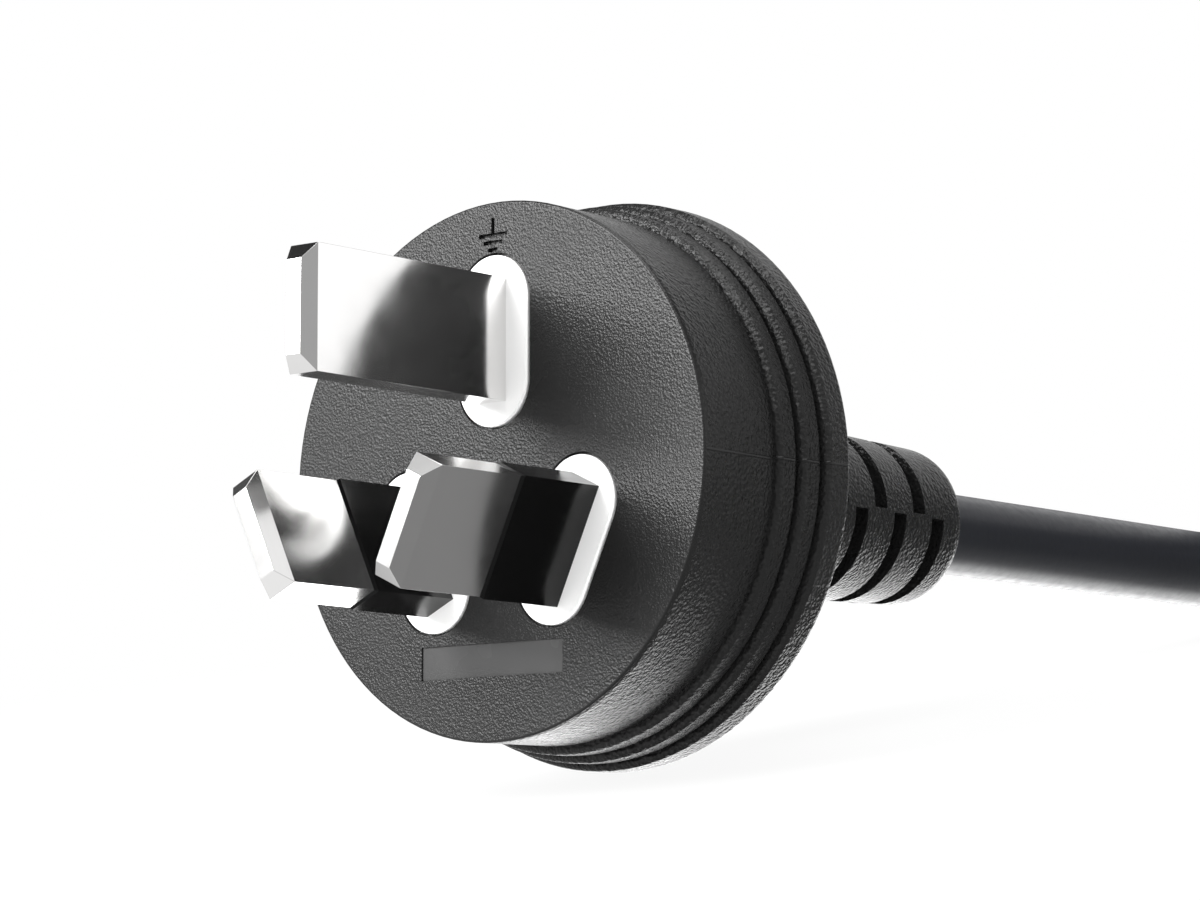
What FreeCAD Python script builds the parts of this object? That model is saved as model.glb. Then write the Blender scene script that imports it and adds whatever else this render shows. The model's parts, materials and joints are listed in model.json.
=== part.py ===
import FreeCAD, Part
import math
import os
import Sketcher
from FreeCAD import Vector

# A three-pin plug on its flexible cord, in millimetres.
# The plug is drawn with its face on y = 0, its pins towards -Y and its cord towards +Y,
# and Rest lays it down as it would come to rest: rear rim on the surface, pins tipped up.
doc = FreeCAD.newDocument("TypeIPlug")

SIZES = [
    ("RestTilt", 11, "how far the pins point up when the rear rim is on the surface, degrees"),
    ("PinWidth", 8.9, "blade width"),
    ("PinThickness", 2.6, "blade thickness"),
    ("PinPitch", 13.7, "between the middles of the active and neutral blades"),
    ("EarthRise", 9.3, "earth blade above the plug's axis"),
    ("LineDrop", 5.45, "active and neutral blades below the axis"),
    ("PinSlant", 25, "lean of the active and neutral blades, degrees"),
    ("EarthPinLength", 20.4, "from the face to the tip"),
    ("LinePinLength", 17.2, "from the face to the tip"),
    ("TipLength", 1.05, "length of the bevelled tip"),
    ("TipInsetWide", 1.15, "bevel across the width, each side"),
    ("TipInsetThin", 0.62, "bevel across the thickness, each side"),
    ("SleeveLength", 8.2, "insulating sleeve in front of the face"),
    ("SleeveRoot", 3.0, "sleeve behind the face"),
    ("SleeveProud", 0.1, "sleeve outside the blade"),
    ("SleeveWall", 0.5, "sleeve wall"),
    ("SleeveLead", 0.3, "bevel at the sleeve's front edge"),
    ("BossLength", 12.4, "white boss round each blade"),
    ("BossWidth", 6.5, "white boss round each blade"),
    ("BossProud", 0.15, "boss above the face"),
    ("BossBevel", 0.12, "bevel on the boss's edge"),
    ("GapWidth", 0.2, "moat round each boss"),
    ("GapDepth", 0.35, "moat round each boss"),
    ("BridgeCover", 4.4, "moulding round the pin bridge's plate"),
    ("BridgeFront", 2.6, "plate's front behind the face"),
    ("BridgePlate", 3.0, "plate's thickness"),
    ("BridgeBack", 9.0, "rear end of the bridge's columns"),
    ("BladeRoot", 0.5, "blade's rear end behind the bridge"),
    ("TailWidth", 4.0, "blade's tail behind the bridge"),
    ("TailThickness", 1.2, "blade's tail behind the bridge"),
    ("TailLength", 2.4, "from the bridge to the crimp barrel"),
    ("TailSeat", 0.5, "tail's end inside the crimp barrel"),
    ("CrimpLength", 4.6, "crimp barrel"),
    ("CrimpFloor", 0.8, "closed front end of the crimp barrel"),
    ("CrimpDiameter", 3.4, "outside of the crimp barrel"),
    ("CoreDiameter", 2.3, "insulated core"),
    ("ConductorDiameter", 1.3, "stranded copper"),
    ("CoreLanding", 0.6, "straight end of a core at its crimp and at the cord"),
    ("CoreCircle", 1.5, "cores' distance from the cord's middle"),
    ("FaceRadius", 19.4, "edge of the face"),
    ("RingDraft", 0.12, "ring narrower at the first ridge than at the face"),
    ("RingLength", 7.8, "from the face to the first ridge"),
    ("RidgeRise", 0.62, "first ridge above the ring"),
    ("RidgeStep", 0.5, "each ridge above the one before"),
    ("RidgePitch", 2.1, "from one ridge's front to the next"),
    ("RidgeRound", 0.42, "front edge of each ridge"),
    ("RidgeHeel", 0.18, "rear edge of each ridge"),
    ("GrooveWidth", 0.3, "groove between ridges"),
    ("GrooveDepth", 0.4, "groove below the ridge in front of it"),
    ("RimLand", 0.6, "rear of the rim behind the third ridge's pitch"),
    ("RimRound", 0.6, "rear edge of the rim"),
    ("ShoulderStep", 1.9, "start of the tapered back inside the rim"),
    ("ShoulderRound", 1.6, "edge of the tapered back"),
    ("BackTaper", 12.7, "length of the tapered back"),
    ("ReliefRadius", 6.9, "strain relief at its root"),
    ("ReliefRoot", 5.0, "hollow rounding at the relief's root"),
    ("ReliefEndRadius", 6.2, "strain relief at its end"),
    ("ReliefLength", 22.0, "strain relief behind the tapered back"),
    ("ReliefRound", 2.1, "rounded shoulder at the relief's end"),
    ("SlotWidth", 1.6, "slot in the relief"),
    ("SlotPitch", 5.1, "between slots of one quarter"),
    ("SlotMargin", 4.5, "middle of the last slot from the relief's end"),
    ("SlotCover", 1.0, "left round the cord at the bottom of a slot"),
    ("WebAngle", 2.0, "web between quarters, degrees"),
    ("CordDiameter", 6.6, "round flexible cord"),
    ("SheathStart", 2.6, "end of the cord's sheath behind the tapered back"),
    ("CordStraight", 104.4, "from the face to where the cord lies down, along the axis"),
    ("TurnPitch", 6.8, "between neighbouring turns of the hank"),
    ("HankRadius", 26.5, "middle of the hank's bundle round its folds"),
    ("HankRun", 30.0, "straight run between the hank's folds"),
    ("HankX", 16.3, "middle of the hank, to the right of the plug"),
    ("HankY", 121.0, "middle of the hank's near fold"),
    ("WayIn", 10.0, "along the run to where the cord is first held in the bundle"),
    ("TieThickness", 0.6, "strap of a hank tie"),
    ("TieWidth", 4.8, "along the bundle"),
    ("TailConductor", 7.0, "bared end of a core at the cord's far end"),
]

# Worked out from the sizes above.
DERIVED = [
    ("BladeNeckWide", "=PinWidth + 2 * SleeveProud - 2 * SleeveWall"),
    ("BladeNeckThin", "=PinThickness + 2 * SleeveProud - 2 * SleeveWall"),
    ("SleeveWide", "=PinWidth + 2 * SleeveProud"),
    ("SleeveThin", "=PinThickness + 2 * SleeveProud"),
    ("LineReach", "=sqrt(PinPitch * PinPitch / 4 + LineDrop * LineDrop)"),
    ("CrimpStart", "=BridgeBack + TailLength"),
    ("CrimpEnd", "=CrimpStart + CrimpLength"),
    ("BridgeRadius", "=FaceRadius - BridgeCover"),
    ("RingRadius", "=FaceRadius - RingDraft"),
    ("RidgeRadius", "=RingRadius + RidgeRise"),
    ("RimRadius", "=RidgeRadius + 2 * RidgeStep"),
    ("BodyDepth", "=RingLength + 3 * RidgePitch + RimLand"),
    ("ShoulderRadius", "=RimRadius - ShoulderStep"),
    ("ReliefStart", "=BodyDepth + BackTaper"),
    ("ReliefEnd", "=ReliefStart + ReliefLength"),
    ("SlotLast", "=ReliefEnd - SlotMargin"),
    ("SlotFloor", "=CordDiameter / 2 + SlotCover"),
    ("CordEntry", "=ReliefStart + SheathStart"),
    ("RestHeight", "=(BodyDepth - RimRound) * sin(RestTilt * 1deg)"
     " + (RimRadius - RimRound) * cos(RestTilt * 1deg) + RimRound"),
    ("FrontReach", "=EarthPinLength * cos(RestTilt * 1deg)"
     " - (EarthRise - PinWidth / 2 + TipInsetWide) * sin(RestTilt * 1deg)"),
    ("RearReach", "=(ReliefEnd - ReliefRound) * cos(RestTilt * 1deg)"
     " + (ReliefEndRadius - ReliefRound) * sin(RestTilt * 1deg) + ReliefRound"),
    ("RestY", "=(FrontReach - RearReach) / 2"),
    ("BundleRadius", "=TurnPitch + CordDiameter / 2"),
    ("BundleHeight", "=TieThickness + BundleRadius"),
]


def fillSheet():
    sheet = doc.addObject("Spreadsheet::Sheet", "Sizes")
    row = 1
    for name, value, note in SIZES:
        sheet.set("A%d" % row, name)
        sheet.set("B%d" % row, str(value))
        sheet.setAlias("B%d" % row, name)
        sheet.set("C%d" % row, note)
        row += 1
    doc.recompute()
    for name, formula in DERIVED:
        sheet.set("A%d" % row, name)
        sheet.set("B%d" % row, formula)
        sheet.setAlias("B%d" % row, name)
        row += 1
    doc.recompute()
    return sheet


sizes = fillSheet()


def size(name):
    return float(sizes.get(name))


rest = doc.addObject("App::Placement", "Rest")
rest.setExpression(
    "Placement",
    "placement(vector(0; Sizes.RestY; Sizes.RestHeight); rotation(vector(-1; 0; 0); Sizes.RestTilt))",
)
doc.recompute()

EARTH_SPOT = "vector(0; 0; Sizes.EarthRise)"
ACTIVE_SPOT = "vector(-Sizes.PinPitch / 2; 0; -Sizes.LineDrop)"
NEUTRAL_SPOT = "vector(Sizes.PinPitch / 2; 0; -Sizes.LineDrop)"
ON_SPOT = "Rest.Placement * placement(%s; rotation(vector(0; 1; 0); %s))"


def newBody(name, placement="Rest.Placement"):
    body = doc.addObject("PartDesign::Body", name)
    body.Label = name
    body.setExpression("Placement", placement)
    return body


def newSketch(body, name, role, offset=None):
    sketch = body.newObject("Sketcher::SketchObject", name)
    plane = [f for f in body.Origin.OriginFeatures if f.Role == role][0]
    sketch.AttachmentSupport = [(plane, "")]
    sketch.MapMode = "FlatFace"
    if offset:
        sketch.setExpression("AttachmentOffset", offset)
    return sketch


def behind(distance, spot="0; 0", turn="0"):
    # An offset for a sketch on the XZ plane, whose normal points to the front.
    return "placement(vector(%s; -(%s)); rotation(vector(0; 0; 1); %s))" % (spot, distance, turn)


def bind(sketch, index, formula):
    sketch.setExpression("Constraints[%d]" % index, formula)


def addPolygon(sketch, points):
    # Each corner is held by its two distances from the origin.
    count = len(points)
    first = sketch.GeometryCount
    for i in range(count):
        a = 2 * math.pi * i / count
        b = 2 * math.pi * (i + 1) / count
        line = Part.LineSegment(Vector(math.cos(a), math.sin(a), 0), Vector(math.cos(b), math.sin(b), 0))
        sketch.addGeometry(line, False)
    for i in range(count):
        after = first + (i + 1) % count
        sketch.addConstraint(Sketcher.Constraint("Coincident", first + i, 2, after, 1))
    for i, (x, y) in enumerate(points):
        if x == "0":
            sketch.addConstraint(Sketcher.Constraint("PointOnObject", first + i, 1, -2))
        else:
            index = sketch.addConstraint(Sketcher.Constraint("DistanceX", -1, 1, first + i, 1, 1.0))
            bind(sketch, index, x)
        if y == "0":
            sketch.addConstraint(Sketcher.Constraint("PointOnObject", first + i, 1, -1))
        else:
            index = sketch.addConstraint(Sketcher.Constraint("DistanceY", -1, 1, first + i, 1, 1.0))
            bind(sketch, index, y)


def addRectangle(sketch, wide, high):
    x = "(%s) / 2" % wide
    y = "(%s) / 2" % high
    addPolygon(sketch, [("-" + x, "-" + y), (x, "-" + y), (x, y), ("-" + x, y)])


def addCircle(sketch, diameter, x="0"):
    index = sketch.addGeometry(Part.Circle(Vector(0.1, 0.1, 0), Vector(0, 0, 1), 1.0), False)
    sketch.addConstraint(Sketcher.Constraint("PointOnObject", index, 3, -1))
    if x == "0":
        sketch.addConstraint(Sketcher.Constraint("PointOnObject", index, 3, -2))
    else:
        place = sketch.addConstraint(Sketcher.Constraint("DistanceX", -1, 1, index, 3, 1.0))
        bind(sketch, place, x)
    across = sketch.addConstraint(Sketcher.Constraint("Diameter", index, 2.0))
    bind(sketch, across, diameter)


def addStadium(sketch, long, wide):
    # A slot shape standing along the sketch's Y axis.
    up = Vector(0, 0, 1)
    arcs = [
        Part.ArcOfCircle(Part.Circle(Vector(0, 3, 0), up, 3), 0, math.pi),
        Part.ArcOfCircle(Part.Circle(Vector(0, -3, 0), up, 3), math.pi, 2 * math.pi),
    ]
    lines = [
        Part.LineSegment(Vector(-3, 3, 0), Vector(-3, -3, 0)),
        Part.LineSegment(Vector(3, -3, 0), Vector(3, 3, 0)),
    ]
    first = sketch.GeometryCount
    for shape in (arcs[0], lines[0], arcs[1], lines[1]):
        sketch.addGeometry(shape, False)
    for i in range(4):
        after = first + (i + 1) % 4
        sketch.addConstraint(Sketcher.Constraint("Tangent", first + i, 2, after, 1))
    for arc, sign in ((first, ""), (first + 2, "-")):
        sketch.addConstraint(Sketcher.Constraint("PointOnObject", arc, 3, -2))
        height = sketch.addConstraint(Sketcher.Constraint("DistanceY", -1, 1, arc, 3, -3.0 if sign else 3.0))
        bind(sketch, height, "%s((%s) - (%s)) / 2" % (sign, long, wide))
        radius = sketch.addConstraint(Sketcher.Constraint("Radius", arc, 3.0))
        bind(sketch, radius, "(%s) / 2" % wide)


def addPad(body, name, sketch, length):
    # From the sketch towards the front.
    pad = body.newObject("PartDesign::Pad", name)
    pad.Profile = sketch
    pad.setExpression("Length", length)
    sketch.Visibility = False
    return pad


def addPocket(body, name, sketch, depth):
    # From the sketch towards the rear.
    doc.recompute()
    before = body.Shape.Volume
    pocket = body.newObject("PartDesign::Pocket", name)
    pocket.Profile = sketch
    pocket.setExpression("Length", depth)
    doc.recompute()
    if body.Shape.Volume >= before:
        raise RuntimeError("%s cuts nothing" % name)
    return pocket


def addLoft(body, name, sections):
    loft = body.newObject("PartDesign::AdditiveLoft", name)
    loft.Profile = sections[0]
    loft.Sections = sections[1:]
    loft.Ruled = True
    return loft


def addFillet(body, name, test, radius):
    # Rounds every edge that the test picks.
    doc.recompute()
    base = body.Tip
    picked = ["Edge%d" % (i + 1) for i, edge in enumerate(base.Shape.Edges) if test(edge)]
    if not picked:
        raise RuntimeError("%s finds no edge" % name)
    fillet = body.newObject("PartDesign::Fillet", name)
    fillet.Base = (base, picked)
    fillet.setExpression("Radius", radius)
    return fillet


def addChamfer(body, name, test, width):
    doc.recompute()
    base = body.Tip
    picked = ["Edge%d" % (i + 1) for i, edge in enumerate(base.Shape.Edges) if test(edge)]
    if not picked:
        raise RuntimeError("%s finds no edge" % name)
    chamfer = body.newObject("PartDesign::Chamfer", name)
    chamfer.Base = (base, picked)
    chamfer.setExpression("Size", width)
    return chamfer


def circleAt(y, radius):
    # Picks the full circle of this radius round the plug's axis, this far behind the face.
    def test(edge):
        curve = edge.Curve
        if not isinstance(curve, Part.Circle):
            return False
        return abs(curve.Center.y - y) < 0.02 and abs(curve.Radius - radius) < 0.02
    return test


def flatAt(y):
    # Picks the edges that lie wholly this far behind the face.
    def test(edge):
        box = edge.BoundBox
        return abs(box.YMin - y) < 0.01 and abs(box.YMax - y) < 0.01
    return test


# The overmoulding: face, ring, three ridges, tapered back and slotted strain relief.
def makeMoulding():
    body = newBody("MouldingForm")
    profile = newSketch(body, "MouldingProfile", "XY_Plane")
    groove = "Sizes.RingLength + %d * Sizes.RidgePitch"
    top = "Sizes.RidgeRadius + %d * Sizes.RidgeStep"
    points = [("0", "0"), ("Sizes.FaceRadius", "0"), ("Sizes.RingRadius", "Sizes.RingLength")]
    for i in range(3):
        front = groove % i
        heel = (groove % (i + 1)) + " - Sizes.GrooveWidth"
        points.append((top % i, front))
        if i < 2:
            floor = (top % i) + " - Sizes.GrooveDepth"
            points.append((top % i, heel))
            points.append((floor, heel))
            points.append((floor, groove % (i + 1)))
    points.append((top % 2, "Sizes.BodyDepth"))
    points.append(("Sizes.ShoulderRadius", "Sizes.BodyDepth"))
    points.append(("Sizes.ReliefRadius", "Sizes.ReliefStart"))
    points.append(("Sizes.ReliefEndRadius", "Sizes.ReliefEnd"))
    points.append(("0", "Sizes.ReliefEnd"))
    addPolygon(profile, points)
    turned = body.newObject("PartDesign::Revolution", "MouldingTurned")
    turned.Profile = profile
    turned.ReferenceAxis = (profile, ["V_Axis"])
    turned.Angle = 360
    profile.Visibility = False

    ridge = size("RidgeRadius")
    step = size("RidgeStep")
    fronts = [size("RingLength") + i * size("RidgePitch") for i in range(4)]
    roundings = [
        ("ReliefShoulder", [(size("ReliefEnd"), size("ReliefEndRadius"))], "Sizes.ReliefRound"),
        ("ReliefHollow", [(size("ReliefStart"), size("ReliefRadius"))], "Sizes.ReliefRoot"),
        ("BackShoulder", [(size("BodyDepth"), size("ShoulderRadius"))], "Sizes.ShoulderRound"),
        ("RimEdge", [(size("BodyDepth"), size("RimRadius"))], "Sizes.RimRound"),
        ("RidgeFronts", [(fronts[i], ridge + i * step) for i in range(3)], "Sizes.RidgeRound"),
        ("RidgeHeels", [(fronts[i + 1] - size("GrooveWidth"), ridge + i * step) for i in range(2)],
         "Sizes.RidgeHeel"),
        ("FaceEdge", [(0, size("FaceRadius"))], "Sizes.RidgeHeel"),
    ]
    for name, circles, radius in roundings:
        tests = [circleAt(y, r) for y, r in circles]
        addFillet(body, name, lambda edge, tests=tests: any(test(edge) for test in tests), radius)

    # Slots in quarters: each quarter's slots stand half a pitch from its neighbours'.
    for name, turn, late, count in (("SlotsA", -45, 0.5, 3), ("SlotsB", 45, 0, 4)):
        sketch = newSketch(
            body, name + "Sketch", "XY_Plane",
            "placement(vector(0; 0; 0); rotation(vector(0; 1; 0); %d))" % turn,
        )
        for i in range(count):
            middle = "Sizes.SlotLast - %g * Sizes.SlotPitch" % (i + late)
            low = "%s - Sizes.SlotWidth / 2" % middle
            high = "%s + Sizes.SlotWidth / 2" % middle
            outer = "Sizes.ReliefRadius + 2"
            addPolygon(sketch, [
                ("Sizes.SlotFloor", low), (outer, low), (outer, high), ("Sizes.SlotFloor", high),
            ])
        doc.recompute()
        before = body.Shape.Volume
        slots = body.newObject("PartDesign::Groove", name)
        slots.Profile = sketch
        slots.ReferenceAxis = (sketch, ["V_Axis"])
        slots.Midplane = True
        slots.setExpression("Angle", "90 - Sizes.WebAngle")
        sketch.Visibility = False
        pattern = body.newObject("PartDesign::PolarPattern", name + "Opposite")
        pattern.Originals = [slots]
        pattern.Axis = (sketch, ["V_Axis"])
        pattern.Angle = 360
        pattern.Occurrences = 2
        body.Tip = pattern
        doc.recompute()
        if body.Shape.Volume >= before:
            raise RuntimeError("%s cut nothing" % name)

    # A narrow moat round each boss.
    spots = [
        ("Earth", "0; Sizes.EarthRise", "0"),
        ("Active", "-Sizes.PinPitch / 2; -Sizes.LineDrop", "Sizes.PinSlant"),
        ("Neutral", "Sizes.PinPitch / 2; -Sizes.LineDrop", "-Sizes.PinSlant"),
    ]
    for name, spot, turn in spots:
        moat = newSketch(body, name + "Moat", "XZ_Plane", behind("0", spot, turn))
        addStadium(moat, "Sizes.BossLength + 2 * Sizes.GapWidth", "Sizes.BossWidth + 2 * Sizes.GapWidth")
        addPocket(body, name + "MoatCut", moat, "Sizes.GapDepth")
    return body


# The white bridge that holds the three blades while the plug is moulded.
def makeBridge():
    body = newBody("BridgeForm")
    plate = newSketch(body, "PlateSketch", "XZ_Plane", behind("Sizes.BridgeFront + Sizes.BridgePlate"))
    addCircle(plate, "2 * Sizes.BridgeRadius")
    addPad(body, "Plate", plate, "Sizes.BridgePlate")
    spots = [
        ("Earth", "0; Sizes.EarthRise", "0"),
        ("Active", "-Sizes.PinPitch / 2; -Sizes.LineDrop", "Sizes.PinSlant"),
        ("Neutral", "Sizes.PinPitch / 2; -Sizes.LineDrop", "-Sizes.PinSlant"),
    ]
    for name, spot, turn in spots:
        column = newSketch(body, name + "Column", "XZ_Plane", behind("Sizes.BridgeBack", spot, turn))
        addStadium(column, "Sizes.BossLength", "Sizes.BossWidth")
        addPad(body, name + "Boss", column, "Sizes.BridgeBack + Sizes.BossProud")
    addChamfer(body, "BossEdges", flatAt(-size("BossProud")), "Sizes.BossBevel")
    return body


def makePin(name, spot, turn, length, sleeved):
    # A blade, its tip, its tail and its crimp barrel in one stamped piece.
    body = newBody(name, ON_SPOT % (spot, turn))
    shoulder = "-(%s - Sizes.TipLength)" % length
    if sleeved:
        root = "-Sizes.SleeveLength"
        neck = newSketch(body, name + "NeckSketch", "XZ_Plane", behind("Sizes.BridgeBack + Sizes.BladeRoot"))
        addRectangle(neck, "Sizes.BladeNeckThin", "Sizes.BladeNeckWide")
        addPad(body, name + "Neck", neck, "Sizes.BridgeBack + Sizes.BladeRoot + Sizes.SleeveLength")
    else:
        root = "Sizes.BridgeBack + Sizes.BladeRoot"
    blade = newSketch(body, name + "BladeSketch", "XZ_Plane", behind(root))
    addRectangle(blade, "Sizes.PinThickness", "Sizes.PinWidth")
    addPad(body, name + "Blade", blade, "%s + %s - Sizes.TipLength" % (root, length))
    tipFoot = newSketch(body, name + "TipFoot", "XZ_Plane", behind(shoulder))
    addRectangle(tipFoot, "Sizes.PinThickness", "Sizes.PinWidth")
    tipEnd = newSketch(body, name + "TipEnd", "XZ_Plane", behind("-(%s)" % length))
    addRectangle(
        tipEnd,
        "Sizes.PinThickness - 2 * Sizes.TipInsetThin",
        "Sizes.PinWidth - 2 * Sizes.TipInsetWide",
    )
    addLoft(body, name + "Tip", [tipFoot, tipEnd])
    tail = newSketch(body, name + "TailSketch", "XZ_Plane", behind("Sizes.CrimpStart + Sizes.TailSeat"))
    addRectangle(tail, "Sizes.TailThickness", "Sizes.TailWidth")
    addPad(body, name + "Tail", tail, "Sizes.TailLength + Sizes.TailSeat - Sizes.BladeRoot / 2")
    barrel = newSketch(body, name + "BarrelSketch", "XZ_Plane", behind("Sizes.CrimpEnd"))
    addCircle(barrel, "Sizes.CrimpDiameter")
    addPad(body, name + "Barrel", barrel, "Sizes.CrimpLength")
    bore = newSketch(body, name + "BoreSketch", "XZ_Plane", behind("Sizes.CrimpStart + Sizes.CrimpFloor"))
    addCircle(bore, "Sizes.ConductorDiameter")
    addPocket(body, name + "Bore", bore, "Sizes.CrimpLength")
    return body


def makeSleeve(name, spot, turn):
    # The insulating sleeve moulded round the rear half of a live blade.
    body = newBody(name, ON_SPOT % (spot, turn))
    outside = newSketch(body, name + "Outside", "XZ_Plane", behind("Sizes.SleeveRoot"))
    addRectangle(outside, "Sizes.SleeveThin", "Sizes.SleeveWide")
    addPad(body, name + "Wall", outside, "Sizes.SleeveRoot + Sizes.SleeveLength - Sizes.SleeveLead")
    foot = newSketch(body, name + "LeadFoot", "XZ_Plane", behind("-(Sizes.SleeveLength - Sizes.SleeveLead)"))
    addRectangle(foot, "Sizes.SleeveThin", "Sizes.SleeveWide")
    front = newSketch(body, name + "LeadFront", "XZ_Plane", behind("-Sizes.SleeveLength"))
    addRectangle(front, "Sizes.PinThickness", "Sizes.PinWidth")
    addLoft(body, name + "Lead", [foot, front])
    inside = newSketch(body, name + "Inside", "XZ_Plane", behind("-Sizes.SleeveLength"))
    addRectangle(inside, "Sizes.BladeNeckThin", "Sizes.BladeNeckWide")
    addPocket(body, name + "Opening", inside, "Sizes.SleeveRoot + Sizes.SleeveLength")
    return body


def addCorePath(body, name, reach):
    # Straight out of the crimp, then an S of two equal arcs in to the cord's middle.
    sketch = newSketch(body, name, "XY_Plane")
    far = float(body.getPropertyByName("Reach"))
    near = size("CoreCircle")
    start = size("CrimpEnd")
    end = size("CordEntry")
    landing = size("CoreLanding")
    rise = end - start - 2 * landing
    bend = (rise * rise + (far - near) ** 2) / (4 * (far - near))
    swing = math.asin(rise / (2 * bend))
    up = Vector(0, 0, 1)
    outerMiddle = Vector(far - bend, start + landing, 0)
    outerArc = Part.ArcOfCircle(Part.Circle(outerMiddle, up, bend), 0, swing)
    innerMiddle = Vector(near + bend, end - landing, 0)
    innerArc = Part.ArcOfCircle(Part.Circle(innerMiddle, up, bend), math.pi, math.pi + swing)
    sketch.addGeometry(Part.LineSegment(Vector(far, start, 0), Vector(far, start + landing, 0)), False)
    sketch.addGeometry(outerArc, False)
    sketch.addGeometry(innerArc, False)
    sketch.addGeometry(Part.LineSegment(Vector(near, end - landing, 0), Vector(near, end, 0)), False)
    sketch.addConstraint(Sketcher.Constraint("Tangent", 0, 2, 1, 1))
    sketch.addConstraint(Sketcher.Constraint("Tangent", 1, 2, 2, 2))
    sketch.addConstraint(Sketcher.Constraint("Tangent", 2, 1, 3, 1))
    sketch.addConstraint(Sketcher.Constraint("Equal", 1, 2))
    sketch.addConstraint(Sketcher.Constraint("Vertical", 0))
    sketch.addConstraint(Sketcher.Constraint("Vertical", 3))
    for geometry, point, kind, value, formula in (
        (0, 1, "DistanceX", far, reach),
        (0, 1, "DistanceY", start, "Sizes.CrimpEnd"),
        (3, 2, "DistanceX", near, "Sizes.CoreCircle"),
        (3, 2, "DistanceY", end, "Sizes.CordEntry"),
    ):
        index = sketch.addConstraint(Sketcher.Constraint(kind, -1, 1, geometry, point, value))
        bind(sketch, index, formula)
    for line in (0, 3):
        index = sketch.addConstraint(Sketcher.Constraint("DistanceY", line, 1, line, 2, landing))
        bind(sketch, index, "Sizes.CoreLanding")
    sketch.Visibility = False
    return sketch


def makeCoreBody(name, turn, reach):
    body = newBody(name, "Rest.Placement * placement(vector(0; 0; 0); rotation(vector(0; 1; 0); %s))" % turn)
    body.addProperty("App::PropertyFloat", "Reach", "Core", "distance of the crimp from the plug's axis")
    body.setExpression("Reach", reach)
    doc.recompute()
    return body


def addTube(body, name, kind, path, reach, diameter):
    ring = newSketch(body, name + "Ring", "XZ_Plane", behind("Sizes.CrimpEnd"))
    addCircle(ring, diameter, reach)
    tube = body.newObject(kind, name)
    tube.Profile = ring
    tube.Spine = (path, [])
    ring.Visibility = False
    return ring


def makeCore(name, turn, reach):
    # The insulated core between its crimp and the cord.
    body = makeCoreBody(name, turn, reach)
    path = addCorePath(body, name + "Path", reach)
    addTube(body, name + "Outside", "PartDesign::AdditivePipe", path, reach, "Sizes.CoreDiameter")
    addTube(body, name + "Inside", "PartDesign::SubtractivePipe", path, reach, "Sizes.ConductorDiameter")
    return body


def makeConductor(name, turn, reach):
    # The stranded copper in the core, bared in its crimp.
    body = makeCoreBody(name, turn, reach)
    path = addCorePath(body, name + "Path", reach)
    ring = addTube(body, name + "Wire", "PartDesign::AdditivePipe", path, reach, "Sizes.ConductorDiameter")
    addPad(body, name + "Bared", ring, "Sizes.CrimpLength - Sizes.CrimpFloor")
    return body


# The cord: its stretch from inside the relief to the hank, and its tail.
def roundedPath(points):
    # Straight runs joined by tangent arcs, as large as the runs beside them allow.
    edges = []
    last = points[0]
    for i in range(1, len(points) - 1):
        before = points[i] - points[i - 1]
        after = points[i + 1] - points[i]
        turn = before.getAngle(after)
        cut = 0.45 * min(before.Length, after.Length)
        radius = cut / math.tan(turn / 2)
        start = points[i] - before * (cut / before.Length)
        end = points[i] + after * (cut / after.Length)
        inward = (after * (1 / after.Length) - before * (1 / before.Length)).normalize()
        middle = points[i] + inward * (radius / math.cos(turn / 2) - radius)
        print("  bend %.1f degrees, radius %.1f mm" % (math.degrees(turn), radius))
        edges.append(Part.LineSegment(last, start).toShape())
        edges.append(Part.Arc(start, middle, end).toShape())
        last = end
    edges.append(Part.LineSegment(last, points[-1]).toShape())
    return Part.Wire(edges)


def sweptTube(points, diameter):
    path = roundedPath(points)
    ahead = (points[1] - points[0]).normalize()
    ring = Part.Wire([Part.makeCircle(diameter / 2, points[0], ahead)])
    shape = path.makePipeShell([ring], True, False)
    area = math.pi * diameter * diameter / 4
    print("  tube %.0f mm3, section times length %.0f mm3" % (shape.Volume, area * path.Length))
    if abs(shape.Volume - area * path.Length) > 0.01 * shape.Volume:
        raise RuntimeError("a cord's tube has lost its section")
    return shape, path.Length


def addTubeFeature(name, points, diameter):
    print(name)
    feature = doc.addObject("Part::Feature", name)
    feature.Label = name
    feature.Shape, length = sweptTube(points, diameter)
    print("  length %.1f mm" % length)
    return feature


def onAxis(distance):
    # The point of the plug's axis this far behind the face, where the plug rests.
    return rest.Placement.multVec(Vector(0, distance, 0))


def bundlePlace(side, along, turns):
    # The cord's own place in the bundle, this far along a run. Each turn lies a sixth further round it.
    lay = math.radians(-90 - 60 * turns)
    out = size("HankRadius") + size("TurnPitch") * math.cos(lay)
    rise = size("BundleHeight") + size("TurnPitch") * math.sin(lay)
    return Vector(size("HankX") + side * out, size("HankY") + along, rise)


def cordPoints():
    # Straight with the plug's axis to the surface, then a little aside into the hank.
    return [
        onAxis(size("CordEntry")),
        onAxis(size("CordStraight")),
        Vector(-10.2, 108.0, 3.9),
        bundlePlace(-1, size("WayIn"), 0),
    ]


def tailPoints():
    # Off the hank after five turns and most of a sixth, along the surface towards the plug.
    run = size("HankRun")
    fold = math.pi * size("HankRadius")
    out = bundlePlace(1, 0, 5 + (2 * run + fold) / (2 * run + 2 * fold))
    return [
        out,
        Vector(out.x, 105.0, out.z),
        Vector(41.5, 90.0, 3.3),
        Vector(40.0, 75.0, 3.3),
    ]


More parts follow.
